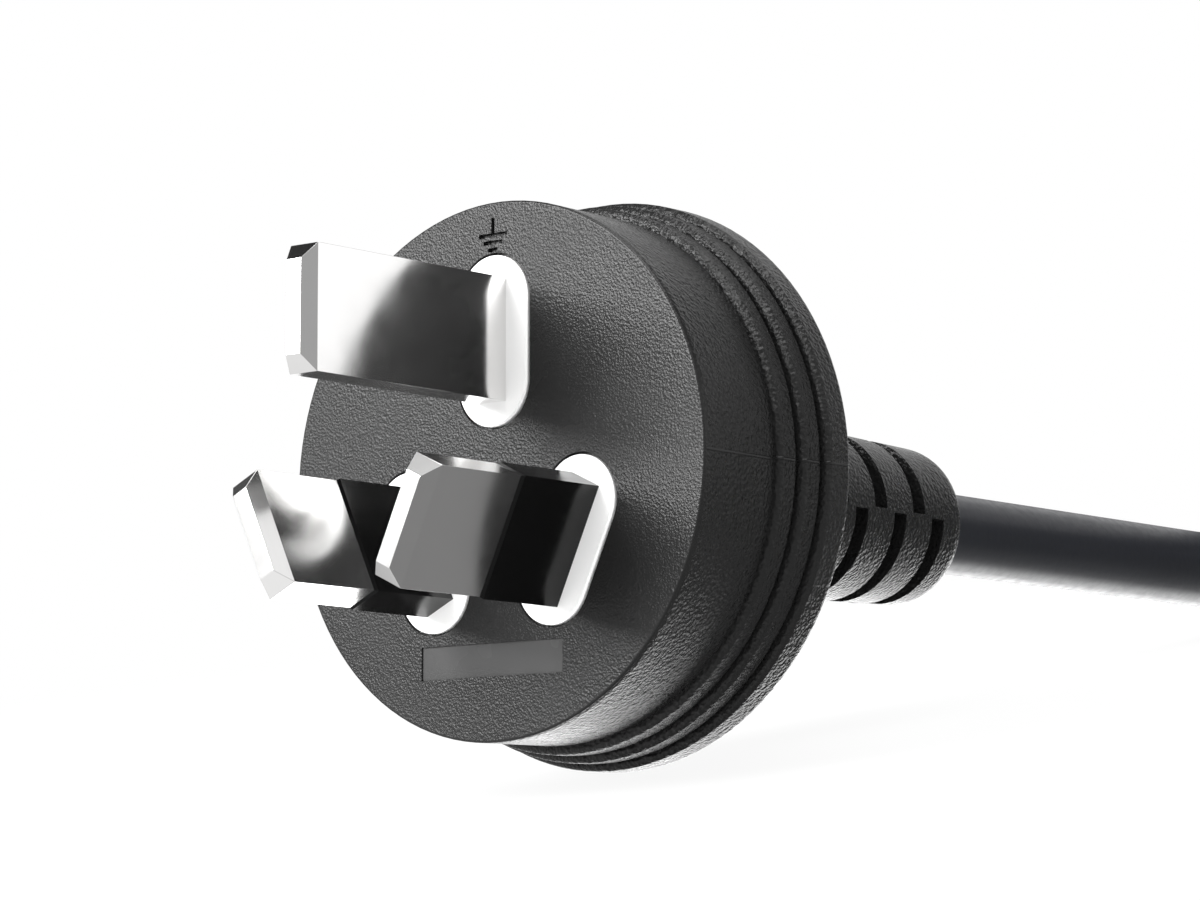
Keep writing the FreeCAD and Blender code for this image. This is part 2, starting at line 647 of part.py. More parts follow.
def tailCorePoints(side):
    # A core leaves the sheath, drops to the surface and spreads to its side.
    points = tailPoints()
    ahead = (points[-1] - points[-2]).normalize()
    across = Vector(ahead.y, -ahead.x, 0)
    spread = size("CoreCircle") * math.cos(math.radians(30)) * side
    start = points[-1] + across * spread
    start.z += size("CoreCircle") if side == 0 else -size("CoreCircle") / 2
    route = [start, start + ahead * 5]
    for reach, aside in ((18, 4.5 * side + 0.6), (29, 8.5 * side - 0.4)):
        spot = start + ahead * reach + across * aside
        spot.z = size("CoreDiameter") / 2
        route.append(spot)
    return route


def addBundleCircles(body, name, at, sides, radius):
    # The bundle's round section on one or both sides of the hank.
    sketch = newSketch(body, name, "XZ_Plane", behind(at))
    for side in sides:
        index = sketch.addGeometry(Part.Circle(Vector(side * 20, 10, 0), Vector(0, 0, 1), 9), False)
        for kind, value, formula in (
            ("DistanceX", side * 20, "%d * Sizes.HankRadius" % side),
            ("DistanceY", 10, "Sizes.BundleHeight"),
        ):
            bind(sketch, sketch.addConstraint(Sketcher.Constraint(kind, -1, 1, index, 3, value)), formula)
        bind(sketch, sketch.addConstraint(Sketcher.Constraint("Radius", index, 9)), radius)
    sketch.Visibility = False
    return sketch


def addTurned(body, kind, name, sketch, back):
    turned = body.newObject(kind, name)
    turned.Profile = sketch
    turned.ReferenceAxis = (sketch, ["V_Axis"])
    turned.Angle = 180
    turned.Reversed = back
    sketch.Visibility = False
    doc.recompute()
    return turned


def makeHank():
    # One closed form round the turns, open under its near fold where the cord joins it and leaves it.
    body = newBody("cord_hank", "placement(vector(Sizes.HankX; Sizes.HankY; 0); rotation(vector(0; 0; 1); 0))")
    both = addBundleCircles(body, "RunsSketch", "Sizes.HankRun", (-1, 1), "Sizes.BundleRadius")
    addPad(body, "Runs", both, "Sizes.HankRun")
    near = addBundleCircles(body, "NearFoldSketch", "0", (1,), "Sizes.BundleRadius")
    addTurned(body, "PartDesign::Revolution", "NearFold", near, True)
    far = addBundleCircles(body, "FarFoldSketch", "Sizes.HankRun", (1,), "Sizes.BundleRadius")
    addTurned(body, "PartDesign::Revolution", "FarFold", far, False)
    inner = "Sizes.HankRadius - Sizes.CordDiameter / 2 - 0.3"
    beyond = "Sizes.HankRadius + 20"
    roof = "Sizes.TieThickness + Sizes.CordDiameter + 0.7"
    under = newSketch(body, "UnderSketch", "XZ_Plane")
    addPolygon(under, [(inner, "-1"), (beyond, "-1"), (beyond, roof), (inner, roof)])
    before = body.Shape.Volume
    addTurned(body, "PartDesign::Groove", "Under", under, True)
    if body.Shape.Volume >= before:
        raise RuntimeError("the hank has no way under its near fold")
    beside = newSketch(body, "BesideSketch", "XZ_Plane")
    addPolygon(beside, [
        ("-(%s)" % beyond, "-1"), ("-(%s)" % inner, "-1"), ("-(%s)" % inner, roof), ("-(%s)" % beyond, roof),
    ])
    addPocket(body, "Beside", beside, "Sizes.WayIn")
    return body


def makeTie(name, side):
    # A flat strap round the bundle, on which the hank lies.
    spot = "placement(vector(Sizes.HankX; Sizes.HankY; 0); rotation(vector(0; 0; 1); 0))"
    body = newBody(name, spot)
    front = "(Sizes.HankRun + Sizes.TieWidth) / 2"
    outside = "Sizes.BundleRadius + Sizes.TieThickness"
    sketch = addBundleCircles(body, name + "Outside", front, (side,), outside)
    addPad(body, name + "Strap", sketch, "Sizes.TieWidth")
    return body


def makeCut(name, base, tool):
    cut = doc.addObject("Part::Cut", name)
    cut.Label = name
    cut.Base = base
    cut.Tool = tool
    return cut


def makeFuse(name, parts):
    fuse = doc.addObject("Part::MultiFuse", name)
    fuse.Shapes = parts
    return fuse


# The plug's pieces
earthTurn = "-atan2(Sizes.EarthRise; 0)"
activeTurn = "-atan2(-Sizes.LineDrop; -Sizes.PinPitch / 2)"
neutralTurn = "-atan2(-Sizes.LineDrop; Sizes.PinPitch / 2)"
pins = [
    makePin("earth_pin", EARTH_SPOT, "0", "Sizes.EarthPinLength", False),
    makePin("active_pin", ACTIVE_SPOT, "-Sizes.PinSlant", "Sizes.LinePinLength", True),
    makePin("neutral_pin", NEUTRAL_SPOT, "Sizes.PinSlant", "Sizes.LinePinLength", True),
]
sleeves = [
    makeSleeve("active_pin_sleeve", ACTIVE_SPOT, "-Sizes.PinSlant"),
    makeSleeve("neutral_pin_sleeve", NEUTRAL_SPOT, "Sizes.PinSlant"),
]
runs = [
    ("earth", earthTurn, "Sizes.EarthRise"),
    ("active", activeTurn, "Sizes.LineReach"),
    ("neutral", neutralTurn, "Sizes.LineReach"),
]
cores = [makeCore(name + "_core", turn, reach) for name, turn, reach in runs]
conductors = [makeConductor(name + "_conductor", turn, reach) for name, turn, reach in runs]
cord = addTubeFeature("cord", cordPoints(), size("CordDiameter"))
tail = addTubeFeature("cord_tail", tailPoints(), size("CordDiameter"))
doc.recompute()
blades = makeFuse("Blades", pins + sleeves)
bridge = makeCut("pin_bridge", makeBridge(), blades)
inserts = makeFuse("Inserts", pins + sleeves + cores + conductors + [bridge, cord])
moulding = makeCut("body_moulding", makeMoulding(), inserts)

# The cord's hank, its two ties and its stripped far end
hank = makeHank()
ties = []
for name, side in (("hank_tie_1", -1), ("hank_tie_2", 1)):
    ties.append(makeCut(name, makeTie(name + "_form", side), hank))
tailPieces = []
for name, side in (("active", -1), ("earth", 0), ("neutral", 1)):
    points = tailCorePoints(side)
    core = addTubeFeature("tail_%s_core" % name, points, size("CoreDiameter"))
    wire = doc.addObject("Part::Feature", "tail_%s_conductor" % name)
    wire.Label = "tail_%s_conductor" % name
    ahead = (points[-1] - points[-2]).normalize()
    wire.Shape = Part.makeCylinder(size("ConductorDiameter") / 2, size("TailConductor"), points[-1], ahead)
    tailPieces += [core, wire]
doc.recompute()

nodes = [moulding, bridge] + pins + sleeves + cores + conductors
nodes += [cord, hank, tail] + ties + tailPieces


def checkModel():
    for thing in doc.Objects:
        if "Invalid" in thing.State or "Error" in thing.State:
            raise RuntimeError("%s is %s" % (thing.Name, thing.State))
    for node in nodes:
        shape = node.Shape
        if shape.isNull() or not shape.isValid() or not shape.Solids:
            raise RuntimeError("%s has no valid solid" % node.Label)


checkModel()
os.makedirs("parts", exist_ok=True)
for node in nodes:
    node.Shape.exportStep("parts/%s.step" % node.Label)
    box = node.Shape.BoundBox
    print("%-22s %9.1f mm3  %d solid  x %.1f..%.1f  y %.1f..%.1f  z %.2f..%.2f" % (
        node.Label, node.Shape.Volume, len(node.Shape.Solids),
        box.XMin, box.XMax, box.YMin, box.YMax, box.ZMin, box.ZMax,
    ))
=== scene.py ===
import json
import math

import bpy
from mathutils import Matrix, Vector


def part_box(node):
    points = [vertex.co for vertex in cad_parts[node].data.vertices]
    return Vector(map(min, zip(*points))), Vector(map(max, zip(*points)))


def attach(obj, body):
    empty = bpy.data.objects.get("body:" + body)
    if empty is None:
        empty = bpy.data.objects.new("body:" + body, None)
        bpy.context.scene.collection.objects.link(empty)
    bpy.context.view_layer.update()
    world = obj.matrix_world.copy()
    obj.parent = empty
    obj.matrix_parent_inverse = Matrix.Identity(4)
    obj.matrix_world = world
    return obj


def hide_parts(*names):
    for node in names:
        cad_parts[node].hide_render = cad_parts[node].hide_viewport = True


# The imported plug. Its face's mount gives the plug's own axes: y runs back from the face, z is up.
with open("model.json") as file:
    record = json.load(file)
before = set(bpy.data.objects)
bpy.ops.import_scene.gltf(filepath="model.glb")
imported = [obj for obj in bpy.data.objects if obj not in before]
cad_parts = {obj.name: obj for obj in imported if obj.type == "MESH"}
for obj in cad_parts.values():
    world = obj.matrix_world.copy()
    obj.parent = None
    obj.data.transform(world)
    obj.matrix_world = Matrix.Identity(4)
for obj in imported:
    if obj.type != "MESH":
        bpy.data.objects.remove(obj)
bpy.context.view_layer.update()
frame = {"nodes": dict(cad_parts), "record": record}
nodes = frame["nodes"]
faceMount = next(m for m in frame["record"]["mounts"] if m["name"] == "plug_face")
plugTilt = -math.asin(faceMount["axis"][2])
plugPlace = Matrix.Translation(faceMount["pos_m"]) @ Matrix.Rotation(plugTilt, 4, "X")
coreKinds = ("active", "earth", "neutral")
print("frame loaded,", len(nodes), "nodes")


def takeUp(piece):
    # only this piece selected and active, for the operators
    for thing in bpy.context.selected_objects:
        thing.select_set(False)
    bpy.context.view_layer.objects.active = piece
    piece.select_set(True)


def applyAll(piece):
    takeUp(piece)
    for modifier in list(piece.modifiers):
        bpy.ops.object.modifier_apply(modifier=modifier.name)


def settle(piece):
    # the piece's place goes into its mesh
    takeUp(piece)
    bpy.ops.object.transform_apply(location=True, rotation=True, scale=True)


def joinOnto(piece, others):
    takeUp(piece)
    for other in others:
        other.select_set(True)
    bpy.ops.object.join()


def editAll(piece):
    # edit mode with the whole mesh selected, loose edges too
    takeUp(piece)
    bpy.ops.object.mode_set(mode="EDIT")
    bpy.ops.mesh.select_mode(type="VERT")
    bpy.ops.mesh.select_all(action="SELECT")


def editOnly(piece, kind, wanted):
    # edit mode with only the wanted faces or edges selected
    takeUp(piece)
    bpy.ops.object.mode_set(mode="EDIT")
    bpy.ops.mesh.select_mode(type=kind)
    bpy.ops.mesh.select_all(action="DESELECT")
    bpy.ops.object.mode_set(mode="OBJECT")
    for part in piece.data.polygons if kind == "FACE" else piece.data.edges:
        part.select = wanted(part)
    bpy.ops.object.mode_set(mode="EDIT")


def leaveEdit():
    bpy.ops.object.mode_set(mode="OBJECT")


# Materials

class Wire:
    # a socket that Python's own operators work on
    def __init__(self, finish, socket):
        self.finish = finish
        self.socket = socket

    def math(self, operation, *values):
        return self.finish.node("ShaderNodeMath", {"operation": operation}, dict(enumerate(values)))

    def __add__(self, other):
        return self.math("ADD", self, other)

    def __radd__(self, other):
        return self.math("ADD", other, self)

    def __sub__(self, other):
        return self.math("SUBTRACT", self, other)

    def __rsub__(self, other):
        return self.math("SUBTRACT", other, self)

    def __mul__(self, other):
        return self.math("MULTIPLY", self, other)

    def __rmul__(self, other):
        return self.math("MULTIPLY", other, self)

    def __gt__(self, other):
        return self.math("GREATER_THAN", self, other)

    def __lt__(self, other):
        return self.math("LESS_THAN", self, other)

    def __abs__(self):
        return self.math("ABSOLUTE", self)

    def clamp(self):
        return self.math("MAXIMUM", self.math("MINIMUM", self, 1.0), 0.0)


class Nodes:
    def __init__(self, owner):
        owner.use_nodes = True
        self.tree = owner.node_tree
        self.tree.nodes.clear()

    def node(self, kind, settings=None, sockets=None, output=0):
        made = self.tree.nodes.new(kind)
        for key, value in (settings or {}).items():
            setattr(made, key, value)
        for key, value in (sockets or {}).items():
            if isinstance(value, Wire):
                self.tree.links.new(value.socket, made.inputs[key])
            else:
                made.inputs[key].default_value = value
        return Wire(self, made.outputs[output]) if made.outputs else None

    def between(self, value, low, high, toLow=0.0, toHigh=1.0):
        # low..high of a value spread smoothly over toLow..toHigh
        return self.node(
            "ShaderNodeMapRange",
            {"interpolation_type": "SMOOTHSTEP"},
            {"Value": value, "From Min": low, "From Max": high, "To Min": toLow, "To Max": toHigh},
        )

    def part(self, vector, axis):
        return self.node("ShaderNodeSeparateXYZ", sockets={0: vector}, output=axis)


noiseSpread = {"low": 0.3, "high": 0.7}  # most of a noise's values lie between these


class Finish(Nodes):
    def __init__(self, name):
        self.material = bpy.data.materials.new(name)
        super().__init__(self.material)
        self.place = self.node("ShaderNodeTexCoord", output="Object")

    def turned(self, place):
        # the Object coordinates seen from a piece's own axes
        return self.node(
            "ShaderNodeMapping",
            {"vector_type": "TEXTURE"},
            {"Vector": self.place, "Location": place.to_translation(), "Rotation": place.to_euler()},
        )

    def noise(self, vector, scale, detail=2.0, roughness=0.5):
        sockets = {"Vector": vector, "Scale": scale, "Detail": detail, "Roughness": roughness}
        return self.node("ShaderNodeTexNoise", sockets=sockets)

    def drawn(self, vector, factors):
        # a noise drawn out into fine lines, with its own scale along each axis
        lengths = self.node("ShaderNodeVectorMath", {"operation": "MULTIPLY"}, {0: vector, 1: factors})
        return self.noise(lengths, 1.0)

    def cells(self, vector, scale, smoothness):
        sockets = {"Vector": vector, "Scale": scale, "Smoothness": smoothness}
        return self.node("ShaderNodeTexVoronoi", {"feature": "SMOOTH_F1"}, sockets)

    def uneven(self, pattern, levels):
        # a roughness that goes from one level to another with a noise
        return self.between(pattern, noiseSpread["low"], noiseSpread["high"], *levels)

    def blend(self, factor, colourA, colourB):
        sockets = {0: factor, 6: colourA, 7: colourB}
        return self.node("ShaderNodeMix", {"data_type": "RGBA"}, sockets, output=2)

    def bump(self, height, distance):
        return self.node("ShaderNodeBump", sockets={"Height": height, "Distance": distance, "Strength": 1.0})

    def finish(self, **sockets):
        named = {name.replace("_", " "): value for name, value in sockets.items()}
        shader = self.node("ShaderNodeBsdfPrincipled", sockets=named)
        self.node("ShaderNodeOutputMaterial", sockets={"Surface": shader})
        return self.material


def grey(level, warmth=0.0):
    return (level * (1 + warmth), level, level * (1 - warmth), 1.0)


# The moulding's leather grain, as layers whose sizes are shares of the grain's own size
grainLayers = {
    "pebble": {"smooth": 0.35, "share": 0.7},
    "crease": {"scale": 0.8, "detail": 3.0, "roughness": 0.65, "share": 0.8},
    "fine": {"scale": 3.0, "detail": 2.0, "roughness": 0.6, "share": 0.12},
}
# finer grain on the face than on the sides; the shares and lineRise are heights in the bump
mouldingLook = {
    "colours": (0.01105, 0.0156),
    "cloud": 90.0,
    "roughness": (0.22, 0.31),
    "roughCloud": 160.0,
    "specular": 0.2,
    "faceGrain": 0.00017,
    "sideGrain": 0.00029,
    "grainDepth": 0.00006,
    "faceShare": 0.55,
    "sideShare": 2.0,
    "sideStart": (0.0001, 0.0006),
    "lineWidth": 0.00014,
    "lineCore": 0.4,
    "lineRise": 3.0,
    "lineReach": (0.0002, 0.03),
    "padSmooth": 0.93,
    "padReach": 0.001,
}

# What is sunk in the face, in the plug's own x and z: a smooth bare pad and the sign for the earth blade
facePad = {"from": (-0.00685, -0.01470), "to": (0.00655, -0.01232), "depth": 0.00012, "colour": 0.045}
earthSign = {
    "middle": -0.00011,
    "stem": (0.01700, 0.01825),
    "bars": ((0.01700, 0.00270), (0.01646, 0.00180), (0.01592, 0.00090)),
    "stroke": 0.00030,
    "depth": 0.00035,
}


def makeBlackMoulding():
    f = Finish("blackMoulding")
    plug = f.turned(plugPlace)
    look = mouldingLook

    def grain(size):
        pebble = grainLayers["pebble"]
        height = f.cells(plug, 1 / size, pebble["smooth"]) * pebble["share"]
        for layer in (grainLayers["crease"], grainLayers["fine"]):
            pattern = f.noise(plug, layer["scale"] / size, layer["detail"], layer["roughness"])
            height = height + pattern * layer["share"]
        return height

    x, y, z = (f.part(plug, axis) for axis in range(3))
    low, high = facePad["from"], facePad["to"]
    onPad = (x > low[0]) * (x < high[0]) * (z > low[1]) * (z < high[1]) * (y < look["padReach"])
    # the mould's halves meet in a hairline along the plug's sides
    first, last = look["lineReach"]
    meet = f.between(abs(z), look["lineWidth"] * look["lineCore"], look["lineWidth"], 1.0, 0.0)
    meet = meet * (y > first) * (y < last)
    onSide = f.between(y, *look["sideStart"])
    height = grain(look["faceGrain"]) * look["faceShare"] * (1 - onSide)
    height = height + grain(look["sideGrain"]) * look["sideShare"] * onSide
    height = height * (1 - onPad * look["padSmooth"]) * (1 - meet) + meet * look["lineRise"]
    colour = f.blend(f.noise(plug, look["cloud"], detail=3.0), *(grey(level) for level in look["colours"]))
    return f.finish(
        Base_Color=f.blend(onPad, colour, grey(facePad["colour"])),
        Roughness=f.uneven(f.noise(plug, look["roughCloud"], detail=3.0), look["roughness"]),
        Specular_IOR_Level=look["specular"],
        Normal=f.bump(height, look["grainDepth"]),
    )


bridgeLook = {
    "colours": ((0.89, 0.89, 0.885, 1.0), (0.94, 0.94, 0.935, 1.0)),
    "cloud": 220.0,
    "roughness": (0.42, 0.52),
    "grain": 2600.0,
    "grainDepth": 0.000012,
}


def makeWhiteBridge():
    f = Finish("whiteBridge")
    plug = f.turned(plugPlace)
    cloud = f.noise(plug, bridgeLook["cloud"], detail=3.0)
    grain = f.noise(plug, bridgeLook["grain"], detail=3.0, roughness=0.6)
    return f.finish(
        Base_Color=f.blend(cloud, *bridgeLook["colours"]),
        Roughness=f.uneven(cloud, bridgeLook["roughness"]),
        Normal=f.bump(grain, bridgeLook["grainDepth"]),
    )


platingLook = {
    "levels": (0.78, 0.83),
    "warmth": 0.006,
    "cloud": 300.0,
    "roughness": (0.12, 0.16),
    "lines": (2500.0, 300.0, 2500.0),
    "lineDepth": 0.00000008,
}


def makePlating():
    f = Finish("platedBrass")
    plug = f.turned(plugPlace)
    look = platingLook
    cloud = f.noise(plug, look["cloud"], detail=3.0)
    return f.finish(
        Base_Color=f.blend(cloud, *(grey(level, look["warmth"]) for level in look["levels"])),
        Metallic=1.0,
        Roughness=f.uneven(cloud, look["roughness"]),
        Normal=f.bump(f.drawn(plug, look["lines"]), look["lineDepth"]),
    )


sleeveLook = {
    "colour": 0.003,
    "roughness": (0.14, 0.2),
    "specular": 0.3,
    "lines": (1500.0, 200.0, 1500.0),
    "lineDepth": 0.000001,
}


def makeSleevePlastic():
    f = Finish("blackSleeve")
    lines = f.drawn(f.turned(plugPlace), sleeveLook["lines"])
    return f.finish(
        Base_Color=grey(sleeveLook["colour"]),
        Roughness=f.uneven(lines, sleeveLook["roughness"]),
        Specular_IOR_Level=sleeveLook["specular"],
        Normal=f.bump(lines, sleeveLook["lineDepth"]),
    )


sheathLook = {
    "colours": ((0.018, 0.019, 0.023, 1.0), (0.024, 0.025, 0.030, 1.0)),
    "cloud": 60.0,
    "roughness": (0.30, 0.38),
    "specular": 0.3,
    "grain": 1400.0,
    "grainDepth": 0.000012,
}


def makeSheath():
    f = Finish("cordSheath")
    grain = f.noise(f.place, sheathLook["grain"], detail=3.0, roughness=0.6)
    return f.finish(
        Base_Color=f.blend(f.noise(f.place, sheathLook["cloud"]), *sheathLook["colours"]),
        Roughness=f.uneven(grain, sheathLook["roughness"]),
        Specular_IOR_Level=sheathLook["specular"],
        Normal=f.bump(grain, sheathLook["grainDepth"]),
    )


strapLook = {"colour": 0.012, "roughness": (0.34, 0.46), "grain": 900.0, "grainDepth": 0.00001}


def makeStrap():
    f = Finish("tieStrap")
    grain = f.noise(f.place, strapLook["grain"], detail=3.0)
    return f.finish(
        Base_Color=grey(strapLook["colour"]),
        Roughness=f.uneven(grain, strapLook["roughness"]),
        Normal=f.bump(grain, strapLook["grainDepth"]),
    )


insulationLook = {
    "active": (0.15, 0.055, 0.02),
    "neutral": (0.03, 0.12, 0.42),
    "earth": (0.03, 0.26, 0.05),
    "darker": 0.85,
    "roughness": (0.3, 0.4),
    "grain": 1200.0,
    "grainDepth": 0.000006,
}
# the second colour along the upper side of the stripped earth core
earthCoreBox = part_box("tail_earth_core")
earthStripe = {
    "x": (earthCoreBox[0][0] + earthCoreBox[1][0]) / 2,
    "half": 0.00042,
    "edge": 1.12,
    "wander": 0.0002,
    "wanderScale": 40.0,
    "colour": (0.80, 0.62, 0.02, 1.0),
}


def makeInsulation(kind):
    f = Finish(kind + "Insulation")
    look = insulationLook
    grain = f.noise(f.place, look["grain"])
    darker = tuple(c * look["darker"] for c in look[kind]) + (1.0,)
    shade = f.blend(grain, darker, (*look[kind], 1.0))
    if kind == "earth":
        stripe = earthStripe
        wander = f.noise(f.place, stripe["wanderScale"], detail=0.0) * stripe["wander"]
        off = abs(f.part(f.place, 0) - stripe["x"] + wander)
        inStripe = f.between(off, stripe["half"], stripe["half"] * stripe["edge"], 1.0, 0.0)
        shade = f.blend(inStripe, shade, stripe["colour"])
    return f.finish(
        Base_Color=shade,
        Roughness=f.uneven(grain, look["roughness"]),
        Normal=f.bump(grain, look["grainDepth"]),
    )


copperLook = {
    "levels": (0.52, 0.66),
    "warmth": 0.02,
    "roughness": (0.28, 0.42),
    "grain": 2500.0,
    "grainDepth": 0.000004,
}


def makeCopper():
    f = Finish("tinnedCopper")
    look = copperLook
    grain = f.noise(f.place, look["grain"])
    return f.finish(
        Base_Color=f.blend(grain, *(grey(level, look["warmth"]) for level in look["levels"])),
        Metallic=1.0,
        Roughness=f.uneven(grain, look["roughness"]),
        Normal=f.bump(grain, look["grainDepth"]),
    )


finishes = {
    "black_moulding": makeBlackMoulding(),
    "white_bridge": makeWhiteBridge(),
    "plated_brass": makePlating(),
    "black_sleeve": makeSleevePlastic(),
    "cord_sheath": makeSheath(),
    "tie_strap": makeStrap(),
    "tinned_copper": makeCopper(),
}
for kind in coreKinds:
    finishes[kind + "_insulation"] = makeInsulation(kind)
nodeFinishes = {
    "body_moulding": "black_moulding",
    "pin_bridge": "white_bridge",
    "earth_pin": "plated_brass",
    "active_pin": "plated_brass",
    "neutral_pin": "plated_brass",
    "active_pin_sleeve": "black_sleeve",
    "neutral_pin_sleeve": "black_sleeve",
    "hank_tie_1": "tie_strap",
    "hank_tie_2": "tie_strap",
}
for kind in coreKinds:
    for place in ("", "tail_"):
        nodeFinishes[place + kind + "_core"] = kind + "_insulation"
        nodeFinishes[place + kind + "_conductor"] = "tinned_copper"


def dress(piece, slot):
    piece.data.materials.clear()
    piece.data.materials.append(finishes[slot])


for node, slot in nodeFinishes.items():
    dress(nodes[node], slot)
print("finishes on the plug's nodes")


# The blades and the moulding, copied from their nodes and worked on

# metres and degrees; square is the cosine that a face which looks one way has to pass
skin = {"weld": 0.000001, "flatAngle": 0.2, "smoothAngle": 50.0, "square": 0.999}


def workingCopy(node, name):
    piece = bpy.data.objects.new(name, nodes[node].data.copy())
    bpy.context.scene.collection.objects.link(piece)
    return piece


def weld(piece):
    # loose triangles become one skin
    editAll(piece)
    bpy.ops.mesh.remove_doubles(threshold=skin["weld"])
    leaveEdit()


def faceOutwards(piece):
    editAll(piece)
    bpy.ops.mesh.normals_make_consistent(inside=False)
    leaveEdit()


def joinFlats(piece):
    # triangles that lie in one flat become one face again
    editAll(piece)
    bpy.ops.mesh.dissolve_limited(angle_limit=math.radians(skin["flatAngle"]))
    leaveEdit()


def soften(piece, width, segments, angle):
    # edges rounded, and the flats beside them still shaded flat
    edges = piece.modifiers.new("edges", "BEVEL")
    edges.width = width
    edges.segments = segments
    edges.limit_method = "ANGLE"
    edges.angle_limit = math.radians(angle)
    applyAll(piece)
    bpy.ops.object.shade_smooth_by_angle(angle=math.radians(skin["smoothAngle"]))
    flats = piece.modifiers.new("flats", "WEIGHTED_NORMAL")
    flats.keep_sharp = True
    applyAll(piece)


def takeOver(piece, node):
    # the piece stands for the node, in its finish
    dress(piece, nodeFinishes[node])
    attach(piece, "root")
    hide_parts(node)


bladeShape = {"edge": 0.00014, "segments": 3, "edgeAngle": 25.0}


def makeBlade(node):
    blade = workingCopy(node, node.replace("pin", "blade"))
    weld(blade)
    faceOutwards(blade)
    joinFlats(blade)
    soften(blade, bladeShape["edge"], bladeShape["segments"], bladeShape["edgeAngle"])
    takeOver(blade, node)


# how the flat of the face is found, backed while it is cut, and cut from in front
faceCut = {"level": 0.00002, "backing": 0.001, "ahead": 0.001}


def makeCutter(low, high, depth):
    # a block between two corners in the plug's own x and z, from before the face to a depth in it
    front, back = (low[0], -faceCut["ahead"], low[1]), (high[0], depth, high[1])
    bpy.ops.mesh.primitive_cube_add(size=1.0)
    block = bpy.context.active_object
    block.scale = [b - a for a, b in zip(front, back)]
    block.location = [(a + b) / 2 for a, b in zip(front, back)]
    settle(block)
    block.matrix_world = plugPlace
    settle(block)
    return block


def makeCutters():
    sign = earthSign
    half = sign["stroke"] / 2
    middle = sign["middle"]
    lowest, highest = sign["stem"]
    blocks = [
        makeCutter(facePad["from"], facePad["to"], facePad["depth"]),
        makeCutter((middle - half, lowest), (middle + half, highest), sign["depth"]),
    ]
    for z, width in sign["bars"]:
        low, high = (middle - width / 2, z - half), (middle + width / 2, z + half)
        blocks.append(makeCutter(low, high, sign["depth"]))
    joinOnto(blocks[0], blocks[1:])
    return blocks[0]


def takeFaceOff(moulding):
    # the flat of the face as a piece of its own
    toPlug = plugPlace.inverted()
    ahead = plugPlace.to_3x3() @ Vector((0, -1, 0))

    def onFlat(face):
        return face.normal.dot(ahead) > skin["square"] and abs((toPlug @ face.center).y) < faceCut["level"]

    editOnly(moulding, "FACE", onFlat)
    bpy.ops.mesh.separate(type="SELECTED")
    leaveEdit()
    return next(thing for thing in bpy.context.selected_objects if thing != moulding)


def cutFace(flat, cutter):
    # backed to a thin plate, cut, and its back and walls taken away again
    takeUp(flat)
    bpy.ops.mesh.customdata_custom_splitnormals_clear()
    weld(flat)
    editAll(flat)
    backwards = plugPlace.to_3x3() @ Vector((0, faceCut["backing"], 0))
    bpy.ops.mesh.extrude_region_move(TRANSFORM_OT_translate={"value": backwards})
    leaveEdit()
    faceOutwards(flat)
    cut = flat.modifiers.new("cut", "BOOLEAN")
    cut.operation = "DIFFERENCE"
    cut.solver = "EXACT"
    cut.use_self = True
    cut.object = cutter
    applyAll(flat)
    bpy.data.objects.remove(cutter, do_unlink=True)
    toPlug = plugPlace.inverted()
    depths = [(toPlug @ vertex.co).y for vertex in flat.data.vertices]
    editOnly(flat, "FACE", lambda face: max(depths[i] for i in face.vertices) > faceCut["backing"] / 2)
    bpy.ops.mesh.delete(type="FACE")
    leaveEdit()
    takeUp(flat)
    bpy.ops.object.shade_flat()


def makeMoulding():
    moulding = workingCopy("body_moulding", "black_moulding_body")
    flat = takeFaceOff(moulding)
    cutFace(flat, makeCutters())
    # the shell keeps the solid's own normals, and the face is flat
    shading = [normal.vector.copy() for mesh in (moulding.data, flat.data) for normal in mesh.corner_normals]
    joinOnto(moulding, [flat])
    weld(moulding)
    moulding.data.normals_split_custom_set(shading)
    takeOver(moulding, "body_moulding")


for node in ("earth_pin", "active_pin", "neutral_pin"):
    makeBlade(node)
makeMoulding()
print("blades softened at their edges, face marked")


# The cord: the solid's route, with the hank's turns as more points of the same line

cordShape = {
    "diameter": 0.0066,
    "length": 1.435,
    "reliefEnd": 0.0494,
    "roundness": 6,
    "fineness": 4,
    "start": [
        (0.0, 0.014233, 0.017493),
        (0.0, 0.06184, 0.00824),
        (0.0, 0.08727, 0.0033),
        (-0.0102, 0.108, 0.0039),
    ],
    "end": [
        (0.0453, 0.105, 0.0044),
        (0.0415, 0.090, 0.0033),
        (0.0400, 0.075, 0.0033),
    ],
}
hankShape = {
    "middle": (0.0163, 0.121),
    "foldRadius": 0.0265,
    "run": 0.030,
    "pitch": 0.0068,
    "height": 0.0107,
    "wayIn": 0.010,
    "fullTurns": 5,
    "strands": 6,
    "pointsEachTurn": 36,
    "startAngle": -90.0,
    "twistEachTurn": -60.0,
}
hankFold = math.pi * hankShape["foldRadius"]
hankLoop = 2 * hankShape["run"] + 2 * hankFold


def layAngle(travelled):
    # where the cord lies round the bundle's middle, in degrees
    return hankShape["startAngle"] + hankShape["twistEachTurn"] * travelled / hankLoop


